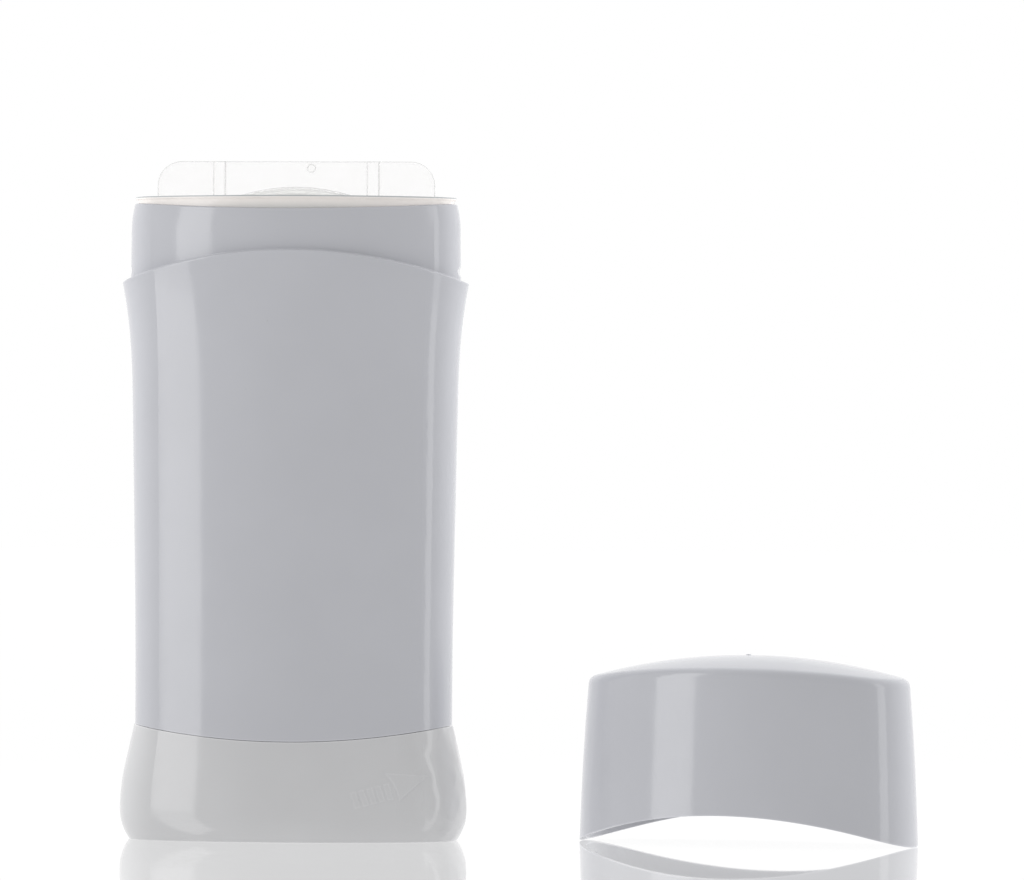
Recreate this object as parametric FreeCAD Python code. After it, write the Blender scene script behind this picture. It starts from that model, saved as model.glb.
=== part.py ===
import FreeCAD, Part
import math
import os

from FreeCAD import Vector

# Twist-up deodorant stick container: oval barrel, snapped-in base, dial, screw, platform, seal and cap.
#
# Millimetres. The origin is the middle of the foot, on the surface that the container stands on. X runs
# across the width, -Y is the front and +Z is up. The cap is off and stands on the same surface, beside the
# container.
# Every horizontal outline is one oval of four tangent arcs, moved in or out by an offset in millimetres.

# The oval at its widest, which the base, the shoulder and the cap's lower edge share. The neck and
# what fits in it belong to an oval of the same size with tighter ends.
HALF_WIDTH = 31.0
HALF_DEPTH = 16.0
END_RADIUS = 11.6
NECK_END_RADIUS = 10.2

# Heights on the container. A saddle edge has one height at the ends and another at the front and back.
SEAM_END_Z = 20.95
SEAM_FRONT_Z = 17.65
SHOULDER_END_Z = 99.1
SHOULDER_FRONT_Z = 104.6
LIP_END_Z = 113.4
LIP_FRONT_Z = 112.0
SEAM_GAP = 0.12
SADDLE_REACH = 34.0

# Barrel outline, as offsets from the widest oval, and the heights of its lofted sections.
BARREL_SECTIONS = [16, 20, 24, 28, 33, 38, 43, 48, 54, 60, 66, 72, 77, 81, 85, 89, 93, 97, 101, 105]
NECK_SECTIONS = [98, 100.5, 103, 105.5, 108, 109.5, 111, 112.5, 114.2]
WAIST_OFFSET = -2.66
WAIST_BEND_Z = 23.7
WAIST_BEND_TOP_Z = 48.6
BARREL_TAPER = 0.018
FLARE_START_Z = 76.9
FLARE_POWER = 2.8
NECK_OFFSET = -1.5
NECK_DRAFT = 0.01
NECK_REF_Z = 102.0
NECK_ROUND_Z = 108.5
NECK_ROUND_RADIUS = 19.0
NECK_COVE = 0.3
SHOULDER_EDGE_RADIUS = 0.3
LIP_EDGE_RADIUS = 0.3
BORE_OFFSET = -4.0
MOUTH_OFFSET = -3.35
MOUTH_LEDGE_Z = 100.5

# The rounded snap recess at each end of the neck, and the cap's bumps that go into it. Both are straight
# from front to back, so that they fade out along the oval's curved ends.
SNAP_Z = 101.2
SNAP_HALF_LENGTH = 3.5
SNAP_RECESS_RADIUS = 1.3
SNAP_RECESS_DEPTH = 0.4
SNAP_BUMP_RADIUS = 0.7
SNAP_BUMP = 0.45

# Base, and the heights of the sections that it is lofted through.
BASE_SECTIONS = [0, 0.7, 1.6, 2.6, 3.8, 5.3, 7.5, 10, 12.5, 15, 17, 19, 21, 23, 25]
BULGE_Z = 5.3
BULGE_UPPER_RADIUS = 35.5
BULGE_STRAIGHT_Z = 13.3
BULGE_LOWER_RADIUS = 9.0
BASE_WALL = 1.6
POCKET_TOP_Z = 12.5
FLOOR_BOTTOM_Z = 9.5
FLOOR_TOP_Z = 11.0
SPIGOT_OFFSET = -4.05
SPIGOT_WALL = 1.2
SPIGOT_TOP_Z = 25.5
BEAD_Z = 23.2
BEAD_HEIGHT = 0.6
BEAD_DEPTH = 0.25
BEAD_CLEARANCE = 0.06

# The raised turning arrow on the front of the base: a tail of slanted bars and a triangular head.
ARROW_RELIEF = 0.10
ARROW_TAIL_X = 11.9
ARROW_TAIL_Z = 7.5
ARROW_RISE_DEG = 14.0
ARROW_BARS = 5
ARROW_BAR_PITCH = 1.46
ARROW_BAR_WIDTH = 0.95
ARROW_BAR_HEIGHT = 2.8
ARROW_BAR_LEAN = 0.12
ARROW_HEAD_TOP = (6.4, 3.3)
ARROW_HEAD_REAR = (7.6, 0.9)
ARROW_HEAD_FOOT = (7.8, -1.9)
ARROW_HEAD_TIP = (13.4, 1.1)

# Screw drive: a two-start left-hand screw. Turning the dial's front to the right lifts the platform.
SCREW_LEAD = 6.0
SCREW_STARTS = 2
SCREW_CORE_RADIUS = 2.6
SCREW_THREAD_RADIUS = 3.6
THREAD_CREST = 0.7
THREAD_ROOT = 1.5
THREAD_SINK = 0.35
THREAD_CLEARANCE = 0.22
SCREW_TOP_Z = 97.0
SCREW_TIP = 1.6
THREAD_START_Z = 13.4
THREAD_END_Z = 95.0
FLANGE_RADIUS = 5.5
FLANGE_BOTTOM_Z = 11.1
FLANGE_TOP_Z = 12.3
JOURNAL_RADIUS = 3.0
JOURNAL_CLEARANCE = 0.08
TAIL_SIDE = 4.4
TAIL_BOTTOM_Z = 2.6
TAIL_CLEARANCE = 0.03

# Dial.
DIAL_RADIUS = 11.2
DIAL_WALL = 1.4
DIAL_BOTTOM_Z = 0.8
DIAL_TOP_Z = 9.1
DIAL_WEB = 1.4
DIAL_HUB_RADIUS = 4.6
DIAL_GRIP_WIDTH = 2.0
DIAL_RIBS = 28
DIAL_RIB_RADIUS = 0.5
DIAL_RIB_INSET = 0.6

# Platform, at the bottom of its travel.
PLATFORM_OFFSET = -4.25
DECK_BOTTOM_Z = 26.3
DECK_TOP_Z = 27.5
DISH_TOP_Z = 28.7
DISH_WALL = 0.9
HUB_RADIUS = 5.4
HUB_BOTTOM_Z = 14.0
HUB_TOP_Z = 31.0
RIB_THICKNESS = 1.0
RIB_ROOT_RADIUS = 4.4
END_RIB_REACH = 23.2
SIDE_RIB_REACH = 9.2
GUSSET_DEPTH = 6.5
FIN_TOP_Z = 30.2
FIN_SHORTER = 1.0
FIN_SLANT = 1.0
ANCHOR_HOLE_RADIUS = 1.7
ANCHOR_HOLE_X = [12.0, 19.0]
ANCHOR_HOLE_Y = 4.5

# Seal. Its collar rests on the neck's curved edge and brings it up to a level flange.
SEAL_FLANGE_OFFSET = -2.33
SEAL_FLANGE_BOTTOM_Z = 113.85
SEAL_FLANGE_TOP_Z = 114.3
SEAL_COLLAR_OFFSET = -2.72
SEAL_COLLAR_GAP = 0.04
SEAL_PLUG_OFFSET = -3.4
SEAL_PLUG_WALL = 0.65
SEAL_PLUG_FOOT_Z = 99.0
DOME_TOP_Z = 116.15
DOME_WALL = 0.7
DOME_RADIUS_X = 34.0
DOME_RADIUS_Y = 20.0
TAB_TOP_Z = 120.8
TAB_HALF_WIDTH = 24.8
TAB_CORNER_RADIUS = 4.3
TAB_THICKNESS = 0.9
TAB_RIB_X = 13.75
TAB_RIB_WIDTH = 2.1
TAB_RIB_THICKNESS = 2.0
TAB_FOOT_Z = 105.0
GATE_X = 2.7
GATE_Z = 119.6
GATE_RADIUS = 0.7
GATE_HEIGHT = 0.2

# Cap, measured from the surface that it stands on.
CAP_TAPER = 0.0265
CAP_BARRELLING = 0.00095
CAP_SECTIONS = [-2, 4, 10, 16, 22, 28, 34]
CAP_WALL = 1.15
CROWN_Z = 33.4
CROWN_RADIUS_X = 106.0
CROWN_RADIUS_Y = 44.0
CROWN_EDGE_RADIUS = 1.8
CROWN_INNER_EDGE_RADIUS = 1.0
CAP_GATE_RADIUS = 0.45
CAP_GATE_HEIGHT = 0.12
CAP_PLACE_X = 81.2
CAP_PLACE_Y = -3.4
CAP_TURN_DEG = -17.0

Z_AXIS = Vector(0, 0, 1)
Y_AXIS = Vector(0, 1, 0)
ORIGIN = Vector(0, 0, 0)
FAR = 60.0
DOME_SWING_DEG = 70.0

# How far pieces that are fused into one run into each other.
OVERLAP = 0.25


# Ovals --------------------------------------------------------------------------------------------


def oval_wire(end_offset, z, front_offset=None, widest_radius=END_RADIUS):
    """The oval at height z, moved out by end_offset across its width and front_offset across its depth.

    Its ends have widest_radius where nothing is moved, and follow the offsets.
    """
    if front_offset is None:
        front_offset = end_offset
    half_width = HALF_WIDTH + end_offset
    half_depth = HALF_DEPTH + front_offset
    end_radius = widest_radius + (end_offset + front_offset) / 2
    end_x = half_width - end_radius
    broad_radius = (half_depth**2 + end_x**2 - end_radius**2) / (2 * (half_depth - end_radius))
    join = math.atan2(end_x, broad_radius - half_depth)
    join_x = end_x + end_radius * math.sin(join)
    join_y = end_radius * math.cos(join)
    stops = [
        Vector(join_x, -join_y, z),
        Vector(half_width, 0, z),
        Vector(join_x, join_y, z),
        Vector(0, half_depth, z),
        Vector(-join_x, join_y, z),
        Vector(-half_width, 0, z),
        Vector(-join_x, -join_y, z),
        Vector(0, -half_depth, z),
        Vector(join_x, -join_y, z),
    ]
    arcs = [Part.Arc(*stops[i : i + 3]).toShape() for i in (0, 2, 4, 6)]
    return Part.Wire(arcs)


def oval_prism(offset, bottom, top, widest_radius=END_RADIUS):
    """An upright oval block."""
    wire = oval_wire(offset, bottom, widest_radius=widest_radius)
    return Part.Face(wire).extrude(Vector(0, 0, top - bottom))


def oval_ring(outer_offset, inner_offset, bottom, top, widest_radius=END_RADIUS):
    """An upright oval ring."""
    outside = oval_prism(outer_offset, bottom, top, widest_radius)
    return outside.cut(oval_prism(inner_offset, bottom, top, widest_radius))


def oval_loft(heights, end_profile, front_profile=None, widest_radius=END_RADIUS):
    """A block through ovals whose offsets are read from the profiles at each height."""
    front_profile = front_profile or end_profile
    wires = [oval_wire(end_profile(z), z, front_profile(z), widest_radius) for z in heights]
    return Part.makeLoft(wires, True, False)


def saddle_block(front_z, end_z, far_z):
    """Everything between far_z and a surface that is straight from front to back and curved crossways.

    The curve is one arc, at front_z in the middle and at end_z where the oval is widest.
    """
    rise = abs(end_z - front_z)
    radius = (HALF_WIDTH**2 + rise**2) / (2 * rise)
    drop = math.copysign(radius - math.sqrt(radius**2 - SADDLE_REACH**2), end_z - front_z)
    left = Vector(-SADDLE_REACH, -FAR, front_z + drop)
    middle = Vector(0, -FAR, front_z)
    right = Vector(SADDLE_REACH, -FAR, front_z + drop)
    far_left = Vector(-SADDLE_REACH, -FAR, far_z)
    far_right = Vector(SADDLE_REACH, -FAR, far_z)
    edges = [
        Part.Arc(left, middle, right).toShape(),
        Part.makeLine(right, far_right),
        Part.makeLine(far_right, far_left),
        Part.makeLine(far_left, left),
    ]
    return Part.Face(Part.Wire(edges)).extrude(Vector(0, 2 * FAR, 0))


def dome_block(top_z, radius_x, radius_y, reach_y):
    """Everything under a crowned surface: an arc across the depth, swung about a level axis below it."""
    axis_z = top_z - radius_x
    sag = radius_y - math.sqrt(radius_y**2 - reach_y**2)
    front = Vector(0, -reach_y, top_z - sag)
    back = Vector(0, reach_y, top_z - sag)
    edges = [
        Part.Arc(front, Vector(0, 0, top_z), back).toShape(),
        Part.makeLine(back, Vector(0, reach_y, axis_z)),
        Part.makeLine(Vector(0, reach_y, axis_z), Vector(0, -reach_y, axis_z)),
        Part.makeLine(Vector(0, -reach_y, axis_z), front),
    ]
    face = Part.Face(Part.Wire(edges))
    face.rotate(Vector(0, 0, axis_z), Y_AXIS, -DOME_SWING_DEG)
    return face.revolve(Vector(0, 0, axis_z), Y_AXIS, 2 * DOME_SWING_DEG)


def plate(points, thickness):
    """An upright plate in the XZ plane, through the given corners and centred on the plane."""
    corners = [Vector(x, -thickness / 2, z) for x, z in points]
    return Part.Face(Part.makePolygon(corners + corners[:1])).extrude(Vector(0, thickness, 0))


# Barrel -------------------------------------------------------------------------------------------


def tapered_offset(z):
    """The barrel's outline below its flare: upright at the waist, then bending out into a slight taper."""
    bend_height = WAIST_BEND_TOP_Z - WAIST_BEND_Z
    in_bend = min(max(z - WAIST_BEND_Z, 0.0), bend_height)
    above = max(z - WAIST_BEND_TOP_Z, 0.0)
    return WAIST_OFFSET + BARREL_TAPER * (in_bend**2 / (2 * bend_height) + above)


def barrel_end_offset(z):
    """The barrel's outline at its two ends: the taper, then a flare up to the shoulder."""
    share = max(z - FLARE_START_Z, 0.0) / (SHOULDER_END_Z - FLARE_START_Z)
    return tapered_offset(z) - tapered_offset(SHOULDER_END_Z) * share**FLARE_POWER


def barrel_front_offset(z):
    """The same outline at the front and back, stretched between the saddle edges there."""
    share = (z - SEAM_FRONT_Z) / (SHOULDER_FRONT_Z - SEAM_FRONT_Z)
    return barrel_end_offset(SEAM_END_Z + share * (SHOULDER_END_Z - SEAM_END_Z))


def neck_offset(z):
    """The neck: drafted, then rounded in towards the lip."""
    straight = NECK_OFFSET - NECK_DRAFT * (z - NECK_REF_Z)
    rounding = max(0.0, z - NECK_ROUND_Z) ** 2 / (2 * NECK_ROUND_RADIUS)
    return straight - rounding


def ledge_wires(shape):
    """The inner and the outer edge of the shoulder's ledge."""
    for face in shape.Faces:
        if len(face.Wires) != 2 or face.normalAt(0, 0).y != 0:
            continue
        box = face.BoundBox
        if SHOULDER_END_Z - 1 < box.ZMin and box.ZMax < SHOULDER_FRONT_Z + 1:
            return sorted(face.Wires, key=lambda wire: wire.BoundBox.XLength)
    raise RuntimeError("the shoulder's ledge was not found")


def soften_shoulder(shape):
    """Rounds the corner where the neck stands on the shoulder, and then the shoulder's own edge."""
    shape = shape.makeFillet(NECK_COVE, ledge_wires(shape)[0].Edges)
    return shape.makeFillet(SHOULDER_EDGE_RADIUS, ledge_wires(shape)[1].Edges)


def snap_rods(reach, radius):
    """Two level rods across the ends of the oval, whose outer sides are reach from the middle."""
    rods = []
    for side in (-1, 1):
        start = Vector(side * (reach - radius), -SNAP_HALF_LENGTH, SNAP_Z)
        rods.append(Part.makeCylinder(radius, 2 * SNAP_HALF_LENGTH, start, Y_AXIS))
    return Part.makeCompound(rods)


def make_barrel():
    body = oval_loft(BARREL_SECTIONS, barrel_end_offset, barrel_front_offset)
    body = body.common(saddle_block(SHOULDER_FRONT_Z, SHOULDER_END_Z, 0))
    neck = oval_loft(NECK_SECTIONS, neck_offset, widest_radius=NECK_END_RADIUS)
    neck = neck.common(saddle_block(LIP_FRONT_Z, LIP_END_Z, 0))
    lip = max(neck.Faces, key=lambda face: face.CenterOfMass.z)
    neck = neck.makeFillet(LIP_EDGE_RADIUS, lip.OuterWire.Edges)
    outside = soften_shoulder(body.fuse(neck))
    outside = outside.cut(saddle_block(SEAM_FRONT_Z + SEAM_GAP, SEAM_END_Z + SEAM_GAP, -FAR))
    bore = oval_prism(BORE_OFFSET, 0, LIP_END_Z + 1)
    mouth = oval_prism(MOUTH_OFFSET, MOUTH_LEDGE_Z, LIP_END_Z + 1, NECK_END_RADIUS)
    groove_half = BEAD_HEIGHT / 2 + BEAD_CLEARANCE
    groove = oval_prism(BORE_OFFSET + BEAD_DEPTH, BEAD_Z - groove_half, BEAD_Z + groove_half)
    recess_reach = HALF_WIDTH + neck_offset(SNAP_Z) - SNAP_RECESS_DEPTH + 2 * SNAP_RECESS_RADIUS
    recess = snap_rods(recess_reach, SNAP_RECESS_RADIUS)
    return outside.cut(bore).cut(mouth).cut(groove).cut(recess)


# Base ---------------------------------------------------------------------------------------------


def base_end_offset(z):
    """The base's outline at its two ends: rounded in under a bulge, and sloping in above it to the seam."""
    if z < BULGE_Z:
        return math.sqrt(BULGE_LOWER_RADIUS**2 - (BULGE_Z - z) ** 2) - BULGE_LOWER_RADIUS
    curved = min(z, BULGE_STRAIGHT_Z) - BULGE_Z
    slope = (BULGE_STRAIGHT_Z - BULGE_Z) / BULGE_UPPER_RADIUS
    return -(curved**2) / (2 * BULGE_UPPER_RADIUS) - slope * max(0.0, z - BULGE_STRAIGHT_Z)


def base_front_offset(z):
    """The same outline at the front and back, where the seam is lower."""
    return base_end_offset(z * SEAM_END_Z / SEAM_FRONT_Z)


def base_block(heights, grow):
    """The base's outer form, moved out by grow."""
    return oval_loft(
        heights,
        lambda z: base_end_offset(max(z, 0)) + grow,
        lambda z: base_front_offset(max(z, 0)) + grow,
    )


def on_arrow(along, across):
    """A point given along and across the arrow, in front of the base."""
    turn = math.radians(ARROW_RISE_DEG)
    x = ARROW_TAIL_X + along * math.cos(turn) - across * math.sin(turn)
    z = ARROW_TAIL_Z + along * math.sin(turn) + across * math.cos(turn)
    return Vector(x, -FAR, z)


def towards_front(wire):
    """A front-facing prism through an outline."""
    return Part.Face(wire).extrude(Vector(0, FAR, 0))


def make_arrow(solid_block):
    """The raised bars and the head with its curved rear, standing proud of the base's front."""
    half = ARROW_BAR_HEIGHT / 2
    shapes = []
    for i in range(ARROW_BARS):
        start = i * ARROW_BAR_PITCH
        end = start + ARROW_BAR_WIDTH
        bar = [
            on_arrow(start - ARROW_BAR_LEAN, half),
            on_arrow(end - ARROW_BAR_LEAN, half),
            on_arrow(end + ARROW_BAR_LEAN, -half),
            on_arrow(start + ARROW_BAR_LEAN, -half),
        ]
        shapes.append(towards_front(Part.makePolygon(bar + bar[:1])))
    places = (ARROW_HEAD_TOP, ARROW_HEAD_REAR, ARROW_HEAD_FOOT, ARROW_HEAD_TIP)
    top, rear, foot, tip = [on_arrow(*place) for place in places]
    head = [Part.Arc(top, rear, foot).toShape(), Part.makeLine(foot, tip), Part.makeLine(tip, top)]
    shapes.append(towards_front(Part.Wire(head)))
    return shapes[0].multiFuse(shapes[1:]).common(solid_block)


def make_base():
    shell = base_block(BASE_SECTIONS, 0)
    shell = shell.fuse(make_arrow(base_block(BASE_SECTIONS, ARROW_RELIEF)))
    shell = shell.cut(saddle_block(SEAM_FRONT_Z, SEAM_END_Z, FAR))
    cup = oval_prism(SPIGOT_OFFSET, FLOOR_BOTTOM_Z, SPIGOT_TOP_Z)
    pocket_sections = [-1, *(z for z in BASE_SECTIONS if z <= POCKET_TOP_Z)]
    pocket = base_block(pocket_sections, -BASE_WALL)
    shell = shell.cut(pocket.cut(cup)).fuse(cup)
    bead_bottom = BEAD_Z - BEAD_HEIGHT / 2
    bead_top = bead_bottom + BEAD_HEIGHT
    bead = oval_ring(SPIGOT_OFFSET + BEAD_DEPTH, SPIGOT_OFFSET - OVERLAP, bead_bottom, bead_top)
    inside = oval_prism(SPIGOT_OFFSET - SPIGOT_WALL, FLOOR_TOP_Z, SPIGOT_TOP_Z + 1)
    hole = Part.makeCylinder(JOURNAL_RADIUS + JOURNAL_CLEARANCE, FAR, Vector(0, 0, 0))
    return shell.fuse(bead).cut(inside).cut(hole)


# Screw drive --------------------------------------------------------------------------------------


def thread_ridge(grow, start_z, end_z, start_angle):
    """One left-hand helical ridge on the screw's core, its flanks and crest moved out by grow."""
    helix = Part.makeHelix(SCREW_LEAD, end_z - start_z, SCREW_CORE_RADIUS, 0, True)
    helix.translate(Vector(0, 0, start_z))
    inner = SCREW_CORE_RADIUS - THREAD_SINK
    outer = SCREW_THREAD_RADIUS + grow
    root = THREAD_ROOT / 2 + grow
    crest = THREAD_CREST / 2 + grow
    corners = [
        Vector(inner, 0, start_z - root),
        Vector(outer, 0, start_z - crest),
        Vector(outer, 0, start_z + crest),
        Vector(inner, 0, start_z + root),
    ]
    sweep = Part.BRepOffsetAPI.MakePipeShell(Part.Wire(helix))
    sweep.setBiNormalMode(Z_AXIS)
    sweep.add(Part.makePolygon(corners + corners[:1]))
    sweep.build()
    sweep.makeSolid()
    ridge = sweep.shape()
    ridge.rotate(ORIGIN, Z_AXIS, start_angle)
    return ridge


def thread_ridges(grow, start_z, end_z):
    """The ridges of every start of the screw."""
    return [thread_ridge(grow, start_z, end_z, 360 * i / SCREW_STARTS) for i in range(SCREW_STARTS)]


def make_spindle():
    core = Part.makeCylinder(SCREW_CORE_RADIUS, SCREW_TOP_Z - FLANGE_BOTTOM_Z, Vector(0, 0, FLANGE_BOTTOM_Z))
    tip_radius = SCREW_CORE_RADIUS - SCREW_TIP / 2
    tip = Part.makeCone(SCREW_CORE_RADIUS, tip_radius, SCREW_TIP, Vector(0, 0, SCREW_TOP_Z))
    flange_height = FLANGE_TOP_Z - FLANGE_BOTTOM_Z
    flange = Part.makeCylinder(FLANGE_RADIUS, flange_height, Vector(0, 0, FLANGE_BOTTOM_Z))
    journal = Part.makeCylinder(JOURNAL_RADIUS, FLANGE_BOTTOM_Z - DIAL_TOP_Z, Vector(0, 0, DIAL_TOP_Z))
    corner = Vector(-TAIL_SIDE / 2, -TAIL_SIDE / 2, TAIL_BOTTOM_Z)
    tail = Part.makeBox(TAIL_SIDE, TAIL_SIDE, DIAL_TOP_Z - TAIL_BOTTOM_Z, corner)
    ridges = thread_ridges(0, THREAD_START_Z, THREAD_END_Z)
    return core.multiFuse([*ridges, tip, flange, journal, tail])


def make_dial():
    height = DIAL_TOP_Z - DIAL_BOTTOM_Z
    drum = Part.makeCylinder(DIAL_RADIUS, height, Vector(0, 0, DIAL_BOTTOM_Z))
    ribs = []
    for i in range(DIAL_RIBS):
        angle = 2 * math.pi * i / DIAL_RIBS
        x = DIAL_RADIUS * math.cos(angle)
        y = DIAL_RADIUS * math.sin(angle)
        foot = Vector(x, y, DIAL_BOTTOM_Z + DIAL_RIB_INSET)
        ribs.append(Part.makeCylinder(DIAL_RIB_RADIUS, height - 2 * DIAL_RIB_INSET, foot))
    drum = drum.multiFuse(ribs)
    hollow_height = height - DIAL_WEB
    hollow = Part.makeCylinder(DIAL_RADIUS - DIAL_WALL, hollow_height, Vector(0, 0, DIAL_BOTTOM_Z))
    hub = Part.makeCylinder(DIAL_HUB_RADIUS, hollow_height, Vector(0, 0, DIAL_BOTTOM_Z))
    grip_length = 2 * (DIAL_RADIUS - DIAL_WALL / 2)
    corner = Vector(-grip_length / 2, -DIAL_GRIP_WIDTH / 2, DIAL_BOTTOM_Z)
    grip = Part.makeBox(grip_length, DIAL_GRIP_WIDTH, hollow_height, corner)
    drum = drum.cut(hollow).multiFuse([hub, grip])
    side = TAIL_SIDE + 2 * TAIL_CLEARANCE
    socket_bottom = TAIL_BOTTOM_Z - TAIL_CLEARANCE
    socket = Part.makeBox(side, side, FAR, Vector(-side / 2, -side / 2, socket_bottom))
    return drum.cut(socket).removeSplitter()


# Platform -----------------------------------------------------------------------------------------


def make_hub():
    """The platform's threaded hub."""
    hub = Part.makeCylinder(HUB_RADIUS, HUB_TOP_Z - HUB_BOTTOM_Z, Vector(0, 0, HUB_BOTTOM_Z))
    core = Part.makeCylinder(SCREW_CORE_RADIUS + THREAD_CLEARANCE, FAR)
    ridges = thread_ridges(THREAD_CLEARANCE, THREAD_START_Z - SCREW_LEAD, THREAD_START_Z + 4 * SCREW_LEAD)
    return hub.cut(core.multiFuse(ridges))


def gusset(reach):
    """A triangular rib under the deck, from the hub outwards."""
    top = DECK_BOTTOM_Z + OVERLAP
    corners = [(RIB_ROOT_RADIUS, top), (reach, top), (RIB_ROOT_RADIUS, DECK_BOTTOM_Z - GUSSET_DEPTH)]
    return plate(corners, RIB_THICKNESS)


def fin(reach):
    """A low rib on the deck, from the hub outwards, that keys the stick so that it can't turn."""
    foot = DECK_TOP_Z - OVERLAP
    inner = RIB_ROOT_RADIUS
    corners = [(inner, foot), (reach, foot), (reach - FIN_SLANT, FIN_TOP_Z), (inner, FIN_TOP_Z)]
    return plate(corners, RIB_THICKNESS)


def make_platform():
    deck = oval_prism(PLATFORM_OFFSET, DECK_BOTTOM_Z, DISH_TOP_Z)
    deck = deck.cut(oval_prism(PLATFORM_OFFSET - DISH_WALL, DECK_TOP_Z, DISH_TOP_Z + 1))
    deck = deck.cut(Part.makeCylinder(RIB_ROOT_RADIUS, FAR))
    for side in (-1, 1):
        for x in ANCHOR_HOLE_X:
            for y in (-ANCHOR_HOLE_Y, ANCHOR_HOLE_Y):
                deck = deck.cut(Part.makeCylinder(ANCHOR_HOLE_RADIUS, FAR, Vector(side * x, y, 0)))
    ribs = []
    for quarter in range(4):
        reach = (END_RIB_REACH, SIDE_RIB_REACH)[quarter % 2]
        for rib in (gusset(reach), fin(reach - FIN_SHORTER)):
            rib.rotate(ORIGIN, Z_AXIS, 90 * quarter)
            ribs.append(rib)
    return make_hub().multiFuse([deck, *ribs])


# Seal ---------------------------------------------------------------------------------------------


def tab_plate():
    """The pull tab: an upright plate with rounded top corners."""
    w, top, r = TAB_HALF_WIDTH, TAB_TOP_Z, TAB_CORNER_RADIUS
    bend = r * (1 - math.sqrt(0.5))
    y = -TAB_THICKNESS / 2
    right = [Vector(w, y, top - r), Vector(w - bend, y, top - bend), Vector(w - r, y, top)]
    left = [Vector(-w + r, y, top), Vector(-w + bend, y, top - bend), Vector(-w, y, top - r)]
    edges = [
        Part.makeLine(Vector(w, y, TAB_FOOT_Z), right[0]),
        Part.Arc(*right).toShape(),
        Part.makeLine(right[2], left[0]),
        Part.Arc(*left).toShape(),
        Part.makeLine(left[2], Vector(-w, y, TAB_FOOT_Z)),
        Part.makeLine(Vector(-w, y, TAB_FOOT_Z), Vector(w, y, TAB_FOOT_Z)),
    ]
    return Part.Face(Part.Wire(edges)).extrude(Vector(0, TAB_THICKNESS, 0))


def make_seal():
    reach = HALF_DEPTH + SEAL_PLUG_OFFSET + 1
    under = dome_block(DOME_TOP_Z - DOME_WALL, DOME_RADIUS_X - DOME_WALL, DOME_RADIUS_Y - DOME_WALL, reach)
    over = dome_block(DOME_TOP_Z, DOME_RADIUS_X, DOME_RADIUS_Y, reach)
    plug_inside = SEAL_PLUG_OFFSET - SEAL_PLUG_WALL
    rings = [
        (SEAL_PLUG_OFFSET, SEAL_PLUG_FOOT_Z),
        (SEAL_FLANGE_OFFSET, SEAL_FLANGE_BOTTOM_Z),
        (SEAL_COLLAR_OFFSET, LIP_FRONT_Z),
    ]
    skirt, flange, collar = [
        oval_ring(offset, plug_inside, foot, SEAL_FLANGE_TOP_Z, NECK_END_RADIUS) for offset, foot in rings
    ]
    edge = saddle_block(LIP_FRONT_Z + SEAL_COLLAR_GAP, LIP_END_Z + SEAL_COLLAR_GAP, FAR + LIP_END_Z)
    collar = collar.common(edge)
    membrane = oval_prism(plug_inside + OVERLAP, SEAL_PLUG_FOOT_Z, DOME_TOP_Z + 1, NECK_END_RADIUS)
    membrane = membrane.common(over)
    ribs = []
    for x in (-TAB_RIB_X, TAB_RIB_X):
        corner = Vector(x - TAB_RIB_WIDTH / 2, -TAB_RIB_THICKNESS / 2, TAB_FOOT_Z)
        ribs.append(Part.makeBox(TAB_RIB_WIDTH, TAB_RIB_THICKNESS, TAB_TOP_Z - TAB_FOOT_Z, corner))
    front = Vector(GATE_X, TAB_THICKNESS / 2 + GATE_HEIGHT, GATE_Z)
    gate = Part.makeCylinder(GATE_RADIUS, TAB_THICKNESS + 2 * GATE_HEIGHT, front, Vector(0, -1, 0))
    seal = skirt.multiFuse([flange, collar, membrane, tab_plate(), gate, *ribs])
    return seal.cut(under).removeSplitter()


# Cap ----------------------------------------------------------------------------------------------


def cap_offset(z):
    """The cap's outline: widest at its lower edge, drawn in with a slight barrel curve towards the crown."""
    return -CAP_TAPER * z - CAP_BARRELLING * z * abs(z)


def crown_block(inset, edge_radius):
    """The cap's filled form, moved in by inset, with its crown's edge rounded."""
    walls = oval_loft(CAP_SECTIONS, lambda z: cap_offset(z) - inset)
    crown = dome_block(CROWN_Z - inset, CROWN_RADIUS_X - inset, CROWN_RADIUS_Y - inset, HALF_DEPTH + 1)
    block = walls.common(crown)
    top = max(block.Faces, key=lambda face: face.CenterOfMass.z)
    return block.makeFillet(edge_radius, top.OuterWire.Edges)


def make_cap():
    rise = SHOULDER_FRONT_Z - SHOULDER_END_Z
    cap = crown_block(0, CROWN_EDGE_RADIUS)
    gate = Part.makeCylinder(CAP_GATE_RADIUS, 1 + CAP_GATE_HEIGHT, Vector(0, 0, CROWN_Z - 1))
    cap = cap.fuse(gate).cut(crown_block(CAP_WALL, CROWN_INNER_EDGE_RADIUS))
    inner = cap_offset(SNAP_Z - SHOULDER_END_Z) - CAP_WALL
    bumps = snap_rods(HALF_WIDTH + inner - SNAP_BUMP + 2 * SNAP_BUMP_RADIUS, SNAP_BUMP_RADIUS)
    bumps.translate(Vector(0, 0, -SHOULDER_END_Z))
    walls = oval_prism(inner + OVERLAP, 0, CROWN_Z)
    cap = cap.multiFuse([rod.common(walls) for rod in bumps.Solids]).cut(saddle_block(rise, 0, -FAR))
    cap.rotate(ORIGIN, Z_AXIS, CAP_TURN_DEG)
    cap.translate(Vector(CAP_PLACE_X, CAP_PLACE_Y, 0))
    return cap


# Export -------------------------------------------------------------------------------------------


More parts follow.
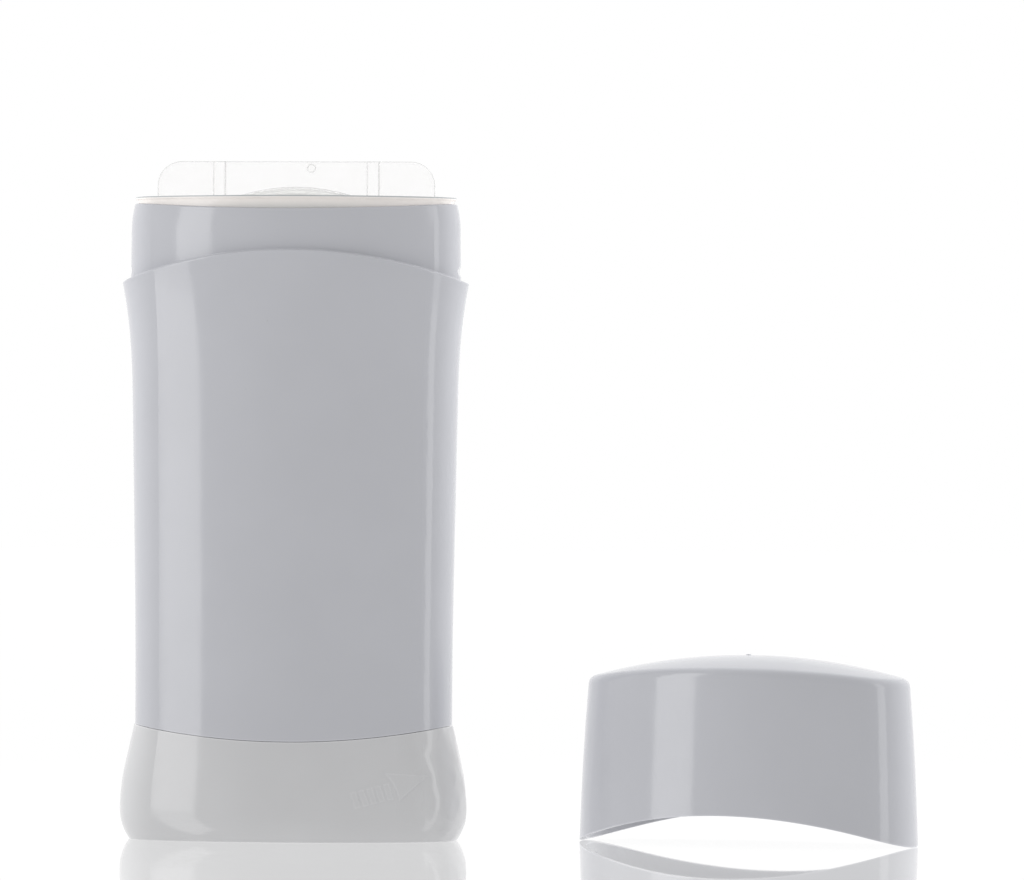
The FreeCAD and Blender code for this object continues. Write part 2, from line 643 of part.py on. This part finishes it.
def main():
    makers = {
        "barrel": make_barrel,
        "base": make_base,
        "dial": make_dial,
        "spindle": make_spindle,
        "platform": make_platform,
        "seal": make_seal,
        "cap": make_cap,
    }
    os.makedirs("parts", exist_ok=True)
    for name, make in makers.items():
        shape = make()
        solids = shape.Solids
        if len(solids) != 1 or not shape.isValid():
            print(name, "has", len(solids), "solids, valid:", shape.isValid())
        box = shape.optimalBoundingBox()
        print(f"{name:9} z {box.ZMin:7.2f} to {box.ZMax:7.2f}  {shape.Volume / 1000:7.3f} cm3")
        solids[0].exportStep(f"parts/{name}.step")


main()
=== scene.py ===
import math

import bpy
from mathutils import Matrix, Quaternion, Vector


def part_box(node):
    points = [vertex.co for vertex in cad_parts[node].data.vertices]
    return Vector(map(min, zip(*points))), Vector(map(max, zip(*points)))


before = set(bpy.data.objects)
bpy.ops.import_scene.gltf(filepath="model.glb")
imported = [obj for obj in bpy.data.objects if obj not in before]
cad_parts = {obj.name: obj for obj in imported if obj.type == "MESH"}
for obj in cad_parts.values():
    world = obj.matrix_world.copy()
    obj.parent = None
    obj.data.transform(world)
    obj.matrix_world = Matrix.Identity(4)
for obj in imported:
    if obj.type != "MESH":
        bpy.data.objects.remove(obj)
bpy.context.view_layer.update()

# The look of an empty twist-up stick container, its clear seal fitted, with its cap standing beside it.
# Everything is in metres. The container stands on the floor at the origin, with its front towards -Y.
# Places of lamps and of the camera are given from the camera's side: along its right, towards it, and up.

MM = 0.001

# Camera: a long lens, level with the middle of the container and a little to its right.
VIEW_TURN = math.radians(3.62)
EYE_DISTANCE = 1.2906
EYE_ASIDE = 0.0387
EYE_HEIGHT = 0.0624
EYE_TILT = math.radians(0.396)
EYE_ROLL = math.radians(0.29)
LENS = 254.4
SENSOR = 36.0

# Light: the world's level on matt surfaces, what counts as white, and the plan point that the panels face.
WORLD_LEVEL = 0.62
WHITE = 1.0
AIM = (0.03, 0.0)

# Upright panels: name, plan points of their two ends, top, radiance. The first two make the long reflections.
KEY_LEFT = ("key_left", (-0.346, 0.365), (-0.286, 0.166), 0.42, 2.5)
STRIP_RIGHT = ("strip_right", (0.427, 0.176), (0.369, 0.265), 0.42, 1.7)
SIDE_FILLS = (
    ("side_right", (0.45, 0.05), (0.45, -0.45), 0.6, 3.0),
    ("side_left", (-0.45, 0.05), (-0.45, -0.45), 0.6, 2.3),
)

# The soft light from above and behind, and the point that it shines at.
ABOVE_PLACE = (0.05, -0.45, 0.7)
ABOVE_AIM = (0.05, 0.0, 0.05)
ABOVE_SIZE = 0.6
ABOVE_RADIANCE = 2.4

# Floor. It lies a little under the parts that stand on it, so that the faces don't coincide. Its matt part
# turns into plain white from FLOOR_NEAR to FLOOR_FAR away from FLOOR_MIDDLE.
FLOOR_DROP = 0.03 * MM
FLOOR_SIZE = 12.0
FLOOR_MIDDLE = (0.04, 0.0, 0.0)
FLOOR_MIRROR = 0.70
FLOOR_GLOSS = 0.02
FLOOR_MATT = 0.93
FLOOR_GLOW = 0.75
FLOOR_BOUNCE = 1.0
FLOOR_NEAR = 0.16
FLOOR_FAR = 0.42

# Plastics. Roughness varies by ROUGHNESS_SPREAD either way, and a bump's size is its height in metres.
SHELL_COLOR = (0.45, 0.455, 0.485)
BASE_COLOR = (0.515, 0.516, 0.525)
WORKS_COLOR = (0.80, 0.79, 0.76)
CLEAR_COLOR = (0.99, 0.985, 0.985, 1.0)
CLEAR_SHADE = (0.975, 0.97, 0.965, 1.0)
MILKY_COLOR = (0.81, 0.775, 0.75, 1.0)
MILKY_SHADE = (0.77, 0.735, 0.71, 1.0)
# Painted shade: the grey that stands in for shade at the seal's dome foot and over its collar's middle.
PAINTED_SHADE_GREY = (0.60, 0.60, 0.585, 1.0)
# Painted shade along the clear seal's edges.
SEAL_EDGE_SHADE_COLOR = (0.62, 0.63, 0.63, 1.0)
# Painted shade: the dark line under the seal's flange.
FLANGE_SHADE_COLOR = (0.42, 0.44, 0.45, 1.0)
SHELL_ROUGHNESS = 0.10
WORKS_ROUGHNESS = 0.32
ROUGHNESS_SPREAD = 0.02
# Painted highlight: the moulded parts are made lighter near their sharp edges, by this factor and over this
# width.
EDGE_HIGHLIGHT_WIDTH = 0.5 * MM
EDGE_HIGHLIGHT = 1.25
SPECK_SHADE = 0.88
GRAIN = 0.6e-6
WAVES = 4e-6
WAVE_SIZE = 9 * MM

# The base's skin is wavier, most of all at its right end, where the waves grow between these places.
BASE_WAVES = 16e-6
BASE_END_WAVES = 1e-3
BASE_WAVE_SIZE = 7 * MM
WAVES_GROW_FROM = 19 * MM
WAVES_GROW_TO = 24 * MM

# The seal: its flange's underside and the foot of its collar's dark line of painted shade, over the barrel's
# rim, and its dome, whose foot gets painted grey shade.
CLEARNESS = 0.97
FLANGE_OVER_RIM = 1.12 * MM
LINE_OVER_RIM = 0.90 * MM
DOME_HEIGHT = 2.1 * MM
DOME_ROUNDNESS = 64 * MM
SEAL_EDGE_WIDTH = 0.3 * MM


def from_camera(aside, towards, height):
    """A point in the row frame, given along the camera's own right, towards it, and up."""
    c, s = math.cos(VIEW_TURN), math.sin(VIEW_TURN)
    return Vector((aside * c + towards * s, aside * s - towards * c, height))


# Camera ----------------------------------------------------------------------------------------------


def make_camera():
    data = bpy.data.cameras.new("camera")
    data.lens = LENS
    data.sensor_width = SENSOR
    data.clip_start = 0.05
    data.clip_end = 50.0
    camera = bpy.data.objects.new("camera", data)
    bpy.context.scene.collection.objects.link(camera)
    camera.location = from_camera(EYE_ASIDE, EYE_DISTANCE, EYE_HEIGHT)
    ahead = from_camera(0, -math.cos(EYE_TILT), math.sin(EYE_TILT))
    camera.rotation_mode = "QUATERNION"
    camera.rotation_quaternion = ahead.to_track_quat("-Z", "Y") @ Quaternion((0, 0, 1), EYE_ROLL)
    bpy.context.scene.camera = camera


# Shader nodes ----------------------------------------------------------------------------------------


def add(tree, kind, **sockets):
    """A new shader node. Socket names are written with _ for a space, and take a value or an output."""
    node = tree.nodes.new("ShaderNode" + kind)
    for name, value in sockets.items():
        plug(tree, node.inputs[name.replace("_", " ")], value)
    return node


def plug(tree, socket, value):
    if isinstance(value, bpy.types.NodeSocket):
        tree.links.new(value, socket)
    else:
        socket.default_value = value


def calc(tree, operation, a, b=0.0):
    """One sum on two numbers or outputs."""
    node = tree.nodes.new("ShaderNodeMath")
    node.operation = operation
    plug(tree, node.inputs[0], a)
    plug(tree, node.inputs[1], b)
    return node.outputs[0]


def between(tree, value, start, end, low=0.0, high=1.0):
    """Eases from low to high as value goes from start to end."""
    node = tree.nodes.new("ShaderNodeMapRange")
    node.interpolation_type = "SMOOTHSTEP"
    plug(tree, node.inputs["Value"], value)
    node.inputs["From Min"].default_value = start
    node.inputs["From Max"].default_value = end
    node.inputs["To Min"].default_value = low
    node.inputs["To Max"].default_value = high
    return node.outputs["Result"]


def blend(tree, share, first, second):
    """Two shaders mixed."""
    node = tree.nodes.new("ShaderNodeMixShader")
    plug(tree, node.inputs[0], share)
    tree.links.new(first, node.inputs[1])
    tree.links.new(second, node.inputs[2])
    return node.outputs[0]


def tint(tree, share, first, second):
    """Two colours mixed."""
    node = tree.nodes.new("ShaderNodeMix")
    node.data_type = "RGBA"
    plug(tree, node.inputs["Factor"], share)
    for socket, value in zip([s for s in node.inputs if s.type == "RGBA"], (first, second)):
        plug(tree, socket, value)
    return next(s for s in node.outputs if s.type == "RGBA")


def noise(tree, place, size, detail=2.0):
    """Soft noise whose forms are about size metres across, around 0.5."""
    node = add(tree, "TexNoise", Vector=place, Scale=1.0 / size, Detail=detail)
    return node.outputs["Fac"]


def seen_ray(tree):
    """1 for a camera, glossy or transmission ray, and 0 for the others."""
    path = tree.nodes.new("ShaderNodeLightPath")
    seen = calc(tree, "MAXIMUM", path.outputs["Is Camera Ray"], path.outputs["Is Glossy Ray"])
    return calc(tree, "MAXIMUM", seen, path.outputs["Is Transmission Ray"])


def new_material(name):
    material = bpy.data.materials.new(name)
    material.use_nodes = True
    material.node_tree.nodes.clear()
    return material, material.node_tree


# Light -----------------------------------------------------------------------------------------------


def soft_light(name, middle, facing, width, height, radiance, diffuse=True, glossy=True):
    """A flat soft light that shines along facing, unseen by the camera."""
    data = bpy.data.lights.new(name, "AREA")
    data.shape = "RECTANGLE"
    data.size = width
    data.size_y = height
    data.energy = radiance * math.pi * width * height
    lamp = bpy.data.objects.new(name, data)
    bpy.context.scene.collection.objects.link(lamp)
    lamp.location = middle
    lamp.rotation_mode = "QUATERNION"
    lamp.rotation_quaternion = facing.to_track_quat("-Z", "Y")
    lamp.visible_camera = False
    lamp.visible_diffuse = diffuse
    lamp.visible_glossy = glossy
    return lamp


def panel(name, start, end, top, radiance, diffuse=True, glossy=True):
    """An upright soft light from the floor to a height, between two plan points, facing the objects."""
    a, b = from_camera(*start, top / 2), from_camera(*end, top / 2)
    middle = (a + b) / 2
    facing = (b - a).cross(Vector((0, 0, 1))).normalized()
    if facing.dot(from_camera(*AIM, 0) - middle) < 0:
        facing.negate()
    return soft_light(name, middle, facing, (b - a).length, top, radiance, diffuse, glossy)


def make_world():
    """White where it is seen, directly or in a gloss, and a plain level where it lights."""
    world = bpy.data.worlds.new("studio")
    bpy.context.scene.world = world
    world.use_nodes = True
    tree = world.node_tree
    tree.nodes.clear()
    lit = add(tree, "Background", Strength=WORLD_LEVEL)
    seen = add(tree, "Background", Strength=WHITE)
    for node in (lit, seen):
        node.inputs["Color"].default_value = (1.0, 1.0, 1.0, 1.0)
    output = tree.nodes.new("ShaderNodeOutputWorld")
    mixed = blend(tree, seen_ray(tree), lit.outputs[0], seen.outputs[0])
    tree.links.new(mixed, output.inputs["Surface"])


def make_lights():
    """The side fills cast no shadow, so that the container and the cap don't darken each other."""
    make_world()
    panel(*KEY_LEFT)
    panel(*STRIP_RIGHT, diffuse=False)
    for side_fill in SIDE_FILLS:
        fill = panel(*side_fill, glossy=False)
        fill.data.use_shadow = False
    above = from_camera(*ABOVE_PLACE)
    down = from_camera(*ABOVE_AIM) - above
    soft_light("above", above, down, ABOVE_SIZE, ABOVE_SIZE, ABOVE_RADIANCE, glossy=False)


# Floor -----------------------------------------------------------------------------------------------


def make_floor():
    mesh = bpy.data.meshes.new("floor")
    half = FLOOR_SIZE / 2
    corners = [(-half, -half, 0), (half, -half, 0), (half, half, 0), (-half, half, 0)]
    mesh.from_pydata(corners, [], [(0, 1, 2, 3)])
    floor = bpy.data.objects.new("floor", mesh)
    bpy.context.scene.collection.objects.link(floor)
    floor.location.z = -FLOOR_DROP
    mesh.materials.append(floor_material())


def floor_material():
    """White and glossy, with its matt part fading to plain white away from the objects."""
    material, tree = new_material("white_gloss_floor")
    white = (1.0, 1.0, 1.0, 1.0)
    place = tree.nodes.new("ShaderNodeTexCoord").outputs["Object"]
    reach = add(tree, "VectorMath")
    reach.operation = "DISTANCE"
    tree.links.new(place, reach.inputs[0])
    reach.inputs[1].default_value = FLOOR_MIDDLE
    glow = between(tree, reach.outputs["Value"], FLOOR_NEAR, FLOOR_FAR, FLOOR_GLOW, 1.0)
    matt = add(tree, "BsdfDiffuse", Color=(FLOOR_MATT, FLOOR_MATT, FLOOR_MATT, 1.0))
    plain = add(tree, "Emission", Color=white, Strength=WHITE)
    body = blend(tree, glow, matt.outputs[0], plain.outputs[0])
    gloss = add(tree, "BsdfGlossy", Color=white, Roughness=FLOOR_GLOSS)
    shown = blend(tree, FLOOR_MIRROR, body, gloss.outputs[0])
    bounce = add(tree, "Emission", Color=white, Strength=FLOOR_BOUNCE)
    output = tree.nodes.new("ShaderNodeOutputMaterial")
    mixed = blend(tree, seen_ray(tree), bounce.outputs[0], shown)
    tree.links.new(mixed, output.inputs["Surface"])
    return material


# Materials -------------------------------------------------------------------------------------------


def specks(tree, place, size, share, radius):
    """1 in sparse round specks, one in some of the cells of a grid of the given size, and 0 elsewhere."""
    cells = add(tree, "TexVoronoi", Vector=place, Scale=1.0 / size)
    chance = add(tree, "SeparateColor", Color=cells.outputs["Color"])
    chosen = calc(tree, "LESS_THAN", chance.outputs[0], share)
    spot = between(tree, cells.outputs["Distance"], radius / size, 0.4 * radius / size)
    return calc(tree, "MULTIPLY", chosen, spot)


def near_edge(tree, radius):
    """1 on the sharp edges of a piece, fading to 0 at about the radius from them."""
    rounded = add(tree, "Bevel", Radius=radius)
    turned = add(tree, "VectorMath")
    turned.operation = "DOT_PRODUCT"
    tree.links.new(rounded.outputs["Normal"], turned.inputs[0])
    tree.links.new(tree.nodes.new("ShaderNodeNewGeometry").outputs["Normal"], turned.inputs[1])
    return between(tree, turned.outputs["Value"], 0.995, 0.85)


def bump(tree, height, distance):
    """Raises the skin by height times distance, in metres."""
    node = tree.nodes.new("ShaderNodeBump")
    node.inputs["Strength"].default_value = 1.0
    node.inputs["Distance"].default_value = distance
    tree.links.new(height, node.inputs["Height"])
    return node


def moulded(name, color, roughness, waves=WAVES, end_waves=WAVES, wave_size=WAVE_SIZE):
    """Moulded plastic: faint flow in its colour, a few specks, edges lightened by a painted highlight, fine
    grain and a not quite flat skin, whose waves go from the height waves to the height end_waves towards the
    container's right end."""
    material, tree = new_material(name)
    place = tree.nodes.new("ShaderNodeTexCoord").outputs["Object"]
    flow = between(tree, noise(tree, place, 16 * MM, 3.0), 0.3, 0.7, 0.985, 1.012)
    dust = specks(tree, place, 4 * MM, 0.12, 0.16 * MM)
    # Painted highlight: lighter colour near the sharp edges, as if rounded edges caught the light.
    painted_edge = near_edge(tree, EDGE_HIGHLIGHT_WIDTH)
    shade = calc(tree, "MULTIPLY", flow, between(tree, dust, 0.0, 1.0, 1.0, SPECK_SHADE))
    shade = calc(tree, "MULTIPLY", shade, between(tree, painted_edge, 0.0, 1.0, 1.0, EDGE_HIGHLIGHT))
    colors = add(tree, "VectorMath")
    colors.operation = "SCALE"
    colors.inputs[0].default_value = color
    tree.links.new(shade, colors.inputs["Scale"])
    smooth, rough = roughness - ROUGHNESS_SPREAD, roughness + ROUGHNESS_SPREAD
    rub = between(tree, noise(tree, place, 5 * MM, 4.0), 0.3, 0.7, smooth, rough)
    skin = bump(tree, noise(tree, place, 0.35 * MM), GRAIN)
    aside = add(tree, "SeparateXYZ", Vector=place).outputs["X"]
    depth = between(tree, aside, WAVES_GROW_FROM, WAVES_GROW_TO, waves, end_waves)
    swell = bump(tree, calc(tree, "MULTIPLY", noise(tree, place, wave_size, 1.0), depth), 1.0)
    tree.links.new(swell.outputs["Normal"], skin.inputs["Normal"])
    shader = tree.nodes.new("ShaderNodeBsdfPrincipled")
    shader.inputs["IOR"].default_value = 1.5
    tree.links.new(colors.outputs[0], shader.inputs["Base Color"])
    tree.links.new(rub, shader.inputs["Roughness"])
    tree.links.new(skin.outputs["Normal"], shader.inputs["Normal"])
    output = tree.nodes.new("ShaderNodeOutputMaterial")
    tree.links.new(shader.outputs[0], output.inputs["Surface"])
    return material


def clear_plastic(name, middle, flange_z, lip_z):
    """Clear plastic with painted grey shade along its edges, and painted grey shade at its dome's foot, where
    the shaded inside shows through. Below flange_z it is a milky collar, greyed by painted shade towards its
    middle and foot, with a dark line of painted shade under the flange from lip_z up to there."""
    material, tree = new_material(name)
    place = tree.nodes.new("ShaderNodeTexCoord").outputs["Object"]
    along = add(tree, "SeparateXYZ", Vector=place)
    height = along.outputs["Z"]
    aside = calc(tree, "ABSOLUTE", calc(tree, "SUBTRACT", along.outputs["X"], middle))
    in_collar = calc(tree, "LESS_THAN", height, flange_z)
    # Painted shade: a dark line just under the flange.
    under_flange_shade = calc(tree, "MULTIPLY", calc(tree, "GREATER_THAN", height, lip_z), in_collar)
    flow = between(tree, noise(tree, place, 6 * MM, 3.0), 0.3, 0.7)
    # Painted shade: grey along the seal's edges.
    painted_edge = calc(tree, "MULTIPLY", near_edge(tree, SEAL_EDGE_WIDTH), 0.6)
    # Painted shade: grey at the dome's foot, where the shaded inside shows through the clear seal.
    drop = calc(tree, "DIVIDE", calc(tree, "MULTIPLY", aside, aside), DOME_ROUNDNESS)
    arch = calc(tree, "ADD", height, drop)
    painted_dome_shade = between(tree, arch, flange_z + DOME_HEIGHT, flange_z + 0.5 * DOME_HEIGHT, 0.0, 0.9)
    clear = tint(tree, flow, CLEAR_COLOR, CLEAR_SHADE)
    clear = tint(tree, painted_dome_shade, clear, PAINTED_SHADE_GREY)
    clear = tint(tree, painted_edge, clear, SEAL_EDGE_SHADE_COLOR)
    # Painted shade: the collar greys towards its middle and its foot.
    collar_shade = calc(tree, "MULTIPLY", between(tree, aside, 22 * MM, 4 * MM, 0.0, 0.7),
                between(tree, height, flange_z - 0.5 * MM, flange_z - 2.2 * MM))
    milky = tint(tree, flow, MILKY_COLOR, MILKY_SHADE)
    milky = tint(tree, collar_shade, milky, PAINTED_SHADE_GREY)
    milky = tint(tree, under_flange_shade, milky, FLANGE_SHADE_COLOR)
    color = tint(tree, in_collar, clear, milky)
    faint = calc(tree, "MAXIMUM", painted_dome_shade, calc(tree, "MULTIPLY", painted_edge, 0.5))
    solid = calc(tree, "MAXIMUM", in_collar, faint)
    through = calc(tree, "MULTIPLY", calc(tree, "SUBTRACT", 1.0, solid), CLEARNESS)
    rub = between(tree, noise(tree, place, 4 * MM, 4.0), 0.3, 0.7, 0.06, 0.14)
    rub = calc(tree, "ADD", rub, calc(tree, "MULTIPLY", in_collar, 0.2))
    shader = tree.nodes.new("ShaderNodeBsdfPrincipled")
    shader.inputs["IOR"].default_value = 1.49
    tree.links.new(between(tree, painted_dome_shade, 0.0, 1.0, 0.5, 0.0), shader.inputs["Specular IOR Level"])
    tree.links.new(color, shader.inputs["Base Color"])
    tree.links.new(through, shader.inputs["Transmission Weight"])
    tree.links.new(rub, shader.inputs["Roughness"])
    output = tree.nodes.new("ShaderNodeOutputMaterial")
    tree.links.new(shader.outputs[0], output.inputs["Surface"])
    return material


def dress(node, material):
    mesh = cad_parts[node].data
    mesh.materials.clear()
    mesh.materials.append(material)


make_camera()
make_lights()
make_floor()
shell = moulded("shell", SHELL_COLOR, SHELL_ROUGHNESS)
dress("barrel", shell)
dress("cap", shell)
dress("base", moulded("base", BASE_COLOR, SHELL_ROUGHNESS, BASE_WAVES, BASE_END_WAVES, BASE_WAVE_SIZE))
works = moulded("works", WORKS_COLOR, WORKS_ROUGHNESS)
for node in ("dial", "spindle", "platform"):
    dress(node, works)
low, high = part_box("barrel")
middle = (low[0] + high[0]) / 2
dress("seal", clear_plastic("clear", middle, high[2] + FLANGE_OVER_RIM, high[2] + LINE_OVER_RIM))

bpy.context.scene.view_settings.view_transform = "Standard"
